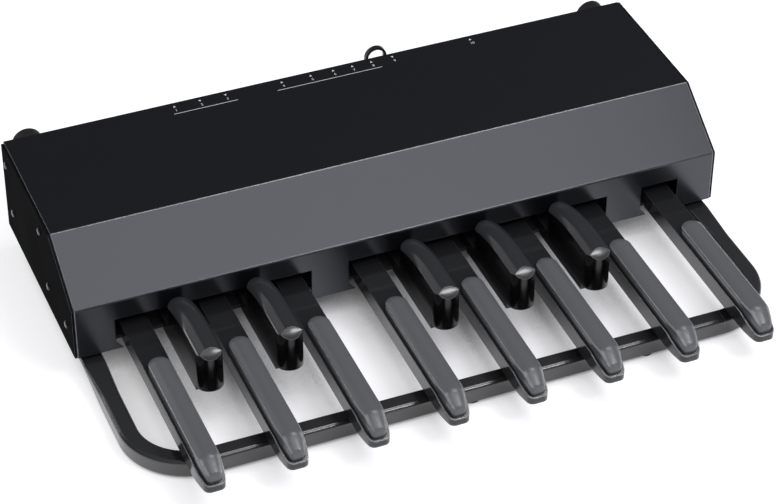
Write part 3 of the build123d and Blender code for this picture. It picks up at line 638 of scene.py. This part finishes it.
def sharp_crown(sideways, along):
    """Height of the crown, which is round across, level in front and falls in an arc to the rear."""
    behind = max(SHARP_LEVEL_FROM - along, 0.0)
    ridge = SHARP_TOP - SHARP_FALL + math.sqrt(SHARP_FALL**2 - behind**2)
    return ridge - SHARP_CROWN + math.sqrt(SHARP_CROWN**2 - sideways**2)


def notched(builder, low, high):
    """Closed body with a box, given by two corners, cut out of it."""
    tool = bmesh.new()
    bmesh.ops.create_cube(tool, size=1.0)
    for point in tool.verts:
        point.co = [far if share > 0 else near for share, near, far in zip(point.co, low, high)]
    holders = []
    for name, source in (("uncut", builder), ("notch", tool)):
        mesh = bpy.data.meshes.new(name)
        source.to_mesh(mesh)
        source.free()
        holders.append(bpy.data.objects.new(name, mesh))
        scene.collection.objects.link(holders[-1])
    cutter = holders[0].modifiers.new("notch", "BOOLEAN")
    cutter.operation = "DIFFERENCE"
    cutter.solver = "EXACT"
    cutter.object = holders[1]
    bpy.context.view_layer.update()
    evaluated = holders[0].evaluated_get(bpy.context.evaluated_depsgraph_get())
    finished = bpy.data.meshes.new_from_object(evaluated)
    result = bmesh.new()
    result.from_mesh(finished)
    for mesh in (finished, *(holder.data for holder in holders)):
        bpy.data.meshes.remove(mesh)
    return result


def sharp_shell(centre):
    """Cap round a place in x: upright walls, crown, notch that the arm passes through, and front facet."""
    builder = bmesh.new()

    def corner(x, along, z):
        """Point from a sideways place, a distance ahead and a height, in millimetres."""
        return builder.verts.new((centre + x * MM, ahead(along), z * MM))

    # The walls lean in with height, so the rim where they meet the crown is found in a few rounds
    foot = sharp_plan(SHARP_LOW)
    rim = []
    for index in range(len(foot)):
        height = SHARP_SHOULDER
        for _ in range(8):
            sideways, along, spine = sharp_plan(height)[index]
            height = sharp_crown(sideways, along)
        rim.append((sideways, along, spine))
    rings = [[corner(x, along, SHARP_LOW) for x, along, _ in foot]]
    builder.faces.new(rings[0])
    for share in CROWN_SHARES:
        plan = [(x * share, spine + (along - spine) * share) for x, along, spine in rim]
        rings.append([corner(x, along, sharp_crown(x, along)) for x, along in plan])
    for lower, upper in zip(rings, rings[1:]):
        skin(builder, lower, upper)
    bmesh.ops.remove_doubles(builder, verts=builder.verts, dist=0.001 * MM)
    bmesh.ops.recalc_face_normals(builder, faces=builder.faces)
    seat_low = (centre - SEAT_HALF * MM, ahead(SEAT_FRONT), SEAT_LOW * MM)
    seat_high = (centre + SEAT_HALF * MM, ahead(SEAT_REAR), SEAT_TOP * MM)
    builder = notched(builder, seat_low, seat_high)

    shoulder_inset, top_inset = (SHARP_DRAFT * (z - SHARP_LOW) for z in (SHARP_SHOULDER, SHARP_TOP))
    shoulder = Vector((0, ahead(SHARP_FRONT - shoulder_inset), SHARP_SHOULDER * MM))
    crest = Vector((0, ahead(SHARP_FRONT - top_inset - SHARP_FACET_REACH), SHARP_TOP * MM))
    facet_normal = (shoulder - crest).cross(Vector((1, 0, 0))).normalized()
    facet_normal *= 1 if facet_normal.z > 0 else -1
    cut = bmesh.ops.bisect_plane(
        builder,
        geom=builder.verts[:] + builder.edges[:] + builder.faces[:],
        dist=0.0001 * MM,
        plane_co=shoulder,
        plane_no=facet_normal,
        clear_outer=True,
    )
    rim_edges = [item for item in cut["geom_cut"] if isinstance(item, bmesh.types.BMEdge)]
    facet = bmesh.ops.contextual_create(builder, geom=rim_edges)["faces"]
    middle = bmesh.ops.poke(builder, faces=facet)["verts"][0]
    middle.co += facet_normal * SHARP_FACET_BULGE * MM
    builder.normal_update()
    for edge in builder.edges:
        if edge in rim_edges or edge.calc_face_angle(0) > CRISP_ANGLE:
            edge.smooth = False
    return builder


def middle_x(node):
    """X of the middle of a node."""
    near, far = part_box(node)
    return (near[0] + far[0]) / 2


for number in range(1, 6):
    shell = sharp_shell(middle_x(f"sharp_cap_{number}"))
    cap = add_piece(f"sharp_cap_shell_{number}", shell, sharp_plastic, f"sharp_pedal_{number}", smooth=True)
    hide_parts(f"sharp_cap_{number}")

# Leaf springs under the arms, fixed in place: the foot lies on the bottom plate and the tip rises under the
# arm.
# Millimetres: distances ahead of the rear edge, half width and thickness.
LEAF_FOOT, LEAF_BEND, LEAF_TIP, LEAF_END, LEAF_STEPS = 52.0, 66.0, 118.0, 128.0, 38
LEAF_HALF, LEAF_THICKNESS, LEAF_END_SHARE = 5.0, 0.8, 0.82
leaf_low, leaf_high = (corner[2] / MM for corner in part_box("return_springs"))


def leaf_height(along):
    """Height of the leaf's underside: flat foot, smooth rise, flat tip."""
    share = min(max((along - LEAF_BEND) / (LEAF_TIP - LEAF_BEND), 0.0), 1.0)
    return leaf_low + (leaf_high - LEAF_THICKNESS - leaf_low) * share * share * (3 - 2 * share)


def leaf_spring(centre):
    """Bent strip with rounded long edges."""
    builder = bmesh.new()
    section = [(-1.0, 0.25), (-0.96, 0.0), (0.96, 0.0), (1.0, 0.25)]
    section += [(1.0, 0.75), (0.96, 1.0), (-0.96, 1.0), (-1.0, 0.75)]
    rings = []
    for step in range(LEAF_STEPS + 1):
        along = LEAF_FOOT + (LEAF_END - LEAF_FOOT) * step / LEAF_STEPS
        bottom = leaf_height(along)
        half = LEAF_HALF * (LEAF_END_SHARE if step in (0, LEAF_STEPS) else 1.0)
        places = [(centre + x * half * MM, (bottom + z * LEAF_THICKNESS) * MM) for x, z in section]
        rings.append([builder.verts.new((x, ahead(along), z)) for x, z in places])
    for lower, upper in zip(rings, rings[1:]):
        skin(builder, lower, upper)
    builder.faces.new(rings[0])
    builder.faces.new(rings[-1])
    return builder


for kind, count in (("natural", 8), ("sharp", 5)):
    for number in range(1, count + 1):
        centre = middle_x(f"{kind}_arm_{number}")
        leaf = add_piece(f"{kind}_leaf_spring_{number}", leaf_spring(centre), spring_steel, None)
        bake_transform(leaf)
        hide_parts("return_springs")

# Printed marks along the rear edge of the cover; distances ahead and spans across in millimetres
INK_LIFT, SLIVER = 0.02 * MM, 0.004 * MM
ARROW_AHEAD, NUMERAL_AHEAD, NUMERAL_SIZE = 5.3, 12.2, 4.0
LINE_REAR, LINE_FRONT, LINE_SPANS = 15.15, 15.75, ((-135.6, -79.9), (-44.9, 48.7))
ink_height = TOP_Z + INK_LIFT


def flat_shape(builder, outline):
    """Face printed on the cover, from (x, y) in metres."""
    builder.faces.new([builder.verts.new((x, y, ink_height)) for x, y in outline])


def arrow_mark(builder, x, pointing):
    """Small triangle whose tip points to the rear (1) or to the front (-1)."""
    y = ahead(ARROW_AHEAD)
    half, rise = 1.25 * MM, 1.15 * MM * pointing
    flat_shape(builder, [(x - half, y - rise), (x + half, y - rise), (x, y + rise)])


def numeral(builder, text, x, y, size):
    """Plain numeral, centred on a place."""
    letters = bpy.data.curves.new("numeral", "FONT")
    letters.body = text
    letters.size = size
    letters.align_x = "CENTER"
    holder = bpy.data.objects.new("numeral", letters)
    scene.collection.objects.link(holder)
    bpy.context.view_layer.update()
    outline = bpy.data.meshes.new_from_object(holder)
    outline.transform(Matrix.Translation((x, y, ink_height)))
    builder.from_mesh(outline)
    bpy.data.objects.remove(holder)
    bpy.data.curves.remove(letters)
    bpy.data.meshes.remove(outline)


marks = bmesh.new()
mark_places = (*SOCKET_PLACES, JACK_PLACE, *KNOB_PLACES, SUPPLY_PLACE, SWITCH_PLACE)
mark_pointing = (1, -1, -1, 1, 1, 1, 1, 1, -1, 1)
for number, (place_x, pointing) in enumerate(zip(mark_places, mark_pointing), 1):
    arrow_mark(marks, place_x * MM, pointing)
    numeral(marks, str(number), place_x * MM, ahead(NUMERAL_AHEAD), NUMERAL_SIZE * MM)
for left, right in LINE_SPANS:
    upper, lower = ahead(LINE_REAR), ahead(LINE_FRONT)
    flat_shape(marks, [(left * MM, lower), (right * MM, lower), (right * MM, upper), (left * MM, upper)])
bmesh.ops.dissolve_degenerate(marks, dist=SLIVER, edges=marks.edges)
add_piece("cover_print", marks, print_ink, "chassis")

# Pointer on each knob, and a scale of ticks on the panel round it; outline and radii in millimetres
TICK_INNER, TICK_OUTER, LONG_TICK_OUTER, TICK_HALF = 7.1, 7.8, 8.2, 0.16
POINTER_SUNK, POINTER_PROUD = 0.2 * MM, 0.12 * MM
pointer_outline = [(-0.45, 1.6), (0.45, 1.6), (0.45, 5.0), (0.25, 5.35), (-0.25, 5.35), (-0.45, 5.0)]
for number, knob_x in enumerate(KNOB_PLACES, 1):
    face_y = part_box(f"control_knob_{number}")[1][1]
    pointer = bmesh.new()
    inner_ring, outer_ring = (
        [pointer.verts.new(((knob_x + x) * MM, y, FITTING_Z + z * MM)) for x, z in pointer_outline]
        for y in (face_y - POINTER_SUNK, face_y + POINTER_PROUD)
    )
    skin(pointer, inner_ring, outer_ring)
    pointer.faces.new(outer_ring)
    pointer.faces.new(inner_ring)
    add_piece(f"knob_pointer_{number}", pointer, print_ink, f"knob_{number}")

ticks = bmesh.new()
tick_y = REAR_Y + INK_LIFT
for knob_x in KNOB_PLACES:
    for step in range(11):
        angle = math.radians(-150 + 30 * step)
        outer = LONG_TICK_OUTER if step % 5 == 0 else TICK_OUTER
        along = Vector((math.sin(angle), math.cos(angle)))
        across = Vector((along.y, -along.x)) * TICK_HALF
        ends = (along * TICK_INNER, along * outer)
        corners = [end - across for end in ends] + [end + across for end in reversed(ends)]
        places = [((knob_x + corner.x) * MM, tick_y, FITTING_Z + corner.y * MM) for corner in corners]
        ticks.faces.new([ticks.verts.new(place) for place in places])
add_piece("knob_scales", ticks, print_ink, "chassis")

# Contacts in the round sockets, black discs that paint the shade inside their holes, and the ferrule of the
# jack; outlines are (radius, height) in millimetres
backward_turn = Matrix.Rotation(-math.pi / 2, 4, "X")
socket_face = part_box("midi_sockets")[1][1]
contacts = bmesh.new()
hole_shades = bmesh.new()
CONTACT_CIRCLE, CONTACT_SIDES = 3.75, 16
HOLE_RADIUS, HOLE_LIFT = 0.72 * MM, 0.02 * MM
contact_ring = [(0.7, -0.4), (0.7, 0.06), (0.85, 0.12), (1.0, 0.06), (1.0, -0.4)]
for socket_x in SOCKET_PLACES:
    for step in range(5):
        angle = math.radians(45 * step)
        hole_x = (socket_x + CONTACT_CIRCLE * math.cos(angle)) * MM
        hole_z = FITTING_Z - CONTACT_CIRCLE * MM * math.sin(angle)
        spot = Matrix.Translation((hole_x, socket_face, hole_z))
        contact = turned([(r * MM, z * MM) for r, z in contact_ring], CONTACT_SIDES)
        merge(contacts, contact, spot @ backward_turn)
        # Black disc just proud of the socket face: painted shade for the hole
        shade_disc = bmesh.new()
        shade_disc.faces.new(ring_of(shade_disc, HOLE_RADIUS, HOLE_LIFT, CONTACT_SIDES))
        merge(hole_shades, shade_disc, spot @ backward_turn)
add_piece("socket_contacts", contacts, contact_metal, "chassis", smooth=True)
add_piece("socket_hole_shade", hole_shades, hole_shade_black, "chassis")

FERRULE_SIDES = 48
jack_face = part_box("line_out_jack")[1][1]
ferrule = [(3.2, 0.03), (3.45, 0.08), (4.2, 0.08), (4.45, -0.2), (4.45, -0.45)]
ferrule += [(4.32, -0.55), (4.45, -0.65), (4.45, -0.95), (4.35, -0.98), (3.2, -0.98)]
jack_ring = turned([(r * MM, z * MM) for r, z in ferrule], FERRULE_SIDES)
jack_ring.transform(Matrix.Translation((JACK_PLACE * MM, jack_face, FITTING_Z)) @ backward_turn)
add_piece("jack_ferrule", jack_ring, plated_steel, "chassis", smooth=True)


# Floor, light and camera

# Paper floor, which glows a little where nothing stands over it: the glow fades near and under the object, a
# painted shade on top of the lamps' own shadows
FLOOR_HALF, GLOW_REACH = 7.0, 0.32
floor_corners = [(x * FLOOR_HALF, y * FLOOR_HALF, 0) for x, y in ((-1, -1), (1, -1), (1, 1), (-1, 1))]
floor_mesh = bpy.data.meshes.new("floor")
floor_mesh.from_pydata(floor_corners, [], [(0, 1, 2, 3)])
floor = bpy.data.objects.new("floor", floor_mesh)
scene.collection.objects.link(floor)
floor_paper = surface("floor_paper", (0.6, 0.59, 0.64), 0.8, specular=0.1, grain=60, depth=0.0, drift=0.004)
paper_tree = floor_paper.node_tree
rays = paper_tree.nodes.new("ShaderNodeLightPath")
open_above = paper_tree.nodes.new("ShaderNodeAmbientOcclusion")
open_above.samples = 8
open_above.inputs["Distance"].default_value = GLOW_REACH
# The glow seen by the camera and in reflections fades with occlusion, which paints shade near and under the
# object
seen_glow = spread(paper_tree, open_above.outputs["AO"], 0.0, 0.72, 0.03, 0.4)
mirrored_glow = spread(paper_tree, open_above.outputs["AO"], 0.0, 0.85, 0.12, 0.46)
mirrored = arithmetic(
    paper_tree,
    "MAXIMUM",
    rays.outputs["Is Glossy Ray"],
    rays.outputs["Is Transmission Ray"],
)
glow = arithmetic(
    paper_tree,
    "ADD",
    product(paper_tree, rays.outputs["Is Camera Ray"], seen_glow),
    product(paper_tree, mirrored, mirrored_glow),
)
paper_shader = paper_tree.nodes["Principled BSDF"]
paper_shader.inputs["Emission Color"].default_value = (1.0, 1.0, 1.0, 1)
node_link(paper_tree, glow, paper_shader.inputs["Emission Strength"])
floor.data.materials.append(floor_paper)

# Studio walls: bright in front and overhead, dim behind
BRIGHT_SIDE = (0.15, -0.8, 0.58)
world = bpy.data.worlds.new("studio")
scene.world = world
world.use_nodes = True
sky = world.node_tree
outward_look = sky.nodes.new("ShaderNodeTexCoord")
facing = sky.nodes.new("ShaderNodeVectorMath")
facing.operation = "DOT_PRODUCT"
facing.inputs[1].default_value = BRIGHT_SIDE
node_link(sky, outward_look.outputs["Generated"], facing.inputs[0])
level = spread(sky, facing.outputs["Value"], 0.07, 0.42, -0.25, 0.75)
backdrop = sky.nodes["Background"]
backdrop.inputs["Color"].default_value = (0.95, 0.97, 1.0, 1)
node_link(sky, level, backdrop.inputs["Strength"])


AIM = Vector((0, 0, 0.05))


def softbox(name, direction, distance, width, depth, power):
    """Rectangular area lamp aimed at the middle of the object, its width along X; metres and watts."""
    lamp = bpy.data.lights.new(name, "AREA")
    lamp.shape = "RECTANGLE"
    lamp.size = width
    lamp.size_y = depth
    lamp.energy = power
    stand = bpy.data.objects.new(name, lamp)
    scene.collection.objects.link(stand)
    away = Vector(direction).normalized()
    stand.location = away * distance + AIM
    across = Vector((1, 0, 0)) - away * away.x
    across.normalize()
    upward = away.cross(across)
    stand.rotation_euler = Matrix((across, upward, away)).transposed().to_euler()


softbox("key_softbox", (0.19, -0.40, 0.87), 2.4, 1.8, 1.7, 14.9)
softbox("front_softbox", (0.305, -0.57, 0.745), 2.2, 0.54, 0.28, 7.4)
softbox("overhead_softbox", (0.30, 0.15, 0.94), 2.4, 0.9, 0.8, 11.0)
softbox("rear_fill", (-0.42, 0.72, 0.5), 2.6, 1.3, 1.0, 3.0)
softbox("rear_strip", (-0.6, 0.75, 0.24), 2.6, 1.0, 0.25, 4.0)

# Camera, turned to the left of the front and looking down; its focal length is in pixels of the image's width
CAMERA_AZIMUTH = math.radians(-22.601)
CAMERA_ELEVATION = math.radians(38.482)
CAMERA_ROLL = math.radians(0.424)
CAMERA_PLACE = (-0.66468, -1.56849, 1.39565)
FOCAL_PIXELS, IMAGE_WIDTH = 2701.6, 779
SENSOR_WIDTH = 36.0

level_right = Vector((math.cos(CAMERA_AZIMUTH), math.sin(CAMERA_AZIMUTH), 0))
backward = Vector(
    (
        math.sin(CAMERA_AZIMUTH) * math.cos(CAMERA_ELEVATION),
        -math.cos(CAMERA_AZIMUTH) * math.cos(CAMERA_ELEVATION),
        math.sin(CAMERA_ELEVATION),
    )
)
level_up = backward.cross(level_right)
camera_right = math.cos(CAMERA_ROLL) * level_right + math.sin(CAMERA_ROLL) * level_up
camera_up = backward.cross(camera_right)

camera_data = bpy.data.cameras.new("camera")
camera_data.sensor_width = SENSOR_WIDTH
camera_data.sensor_fit = "HORIZONTAL"
camera_data.lens = FOCAL_PIXELS / IMAGE_WIDTH * SENSOR_WIDTH
camera = bpy.data.objects.new("camera", camera_data)
scene.collection.objects.link(camera)
turn = Matrix((camera_right, camera_up, backward)).transposed()
camera.matrix_world = Matrix.Translation(CAMERA_PLACE) @ turn.to_4x4()
scene.camera = camera
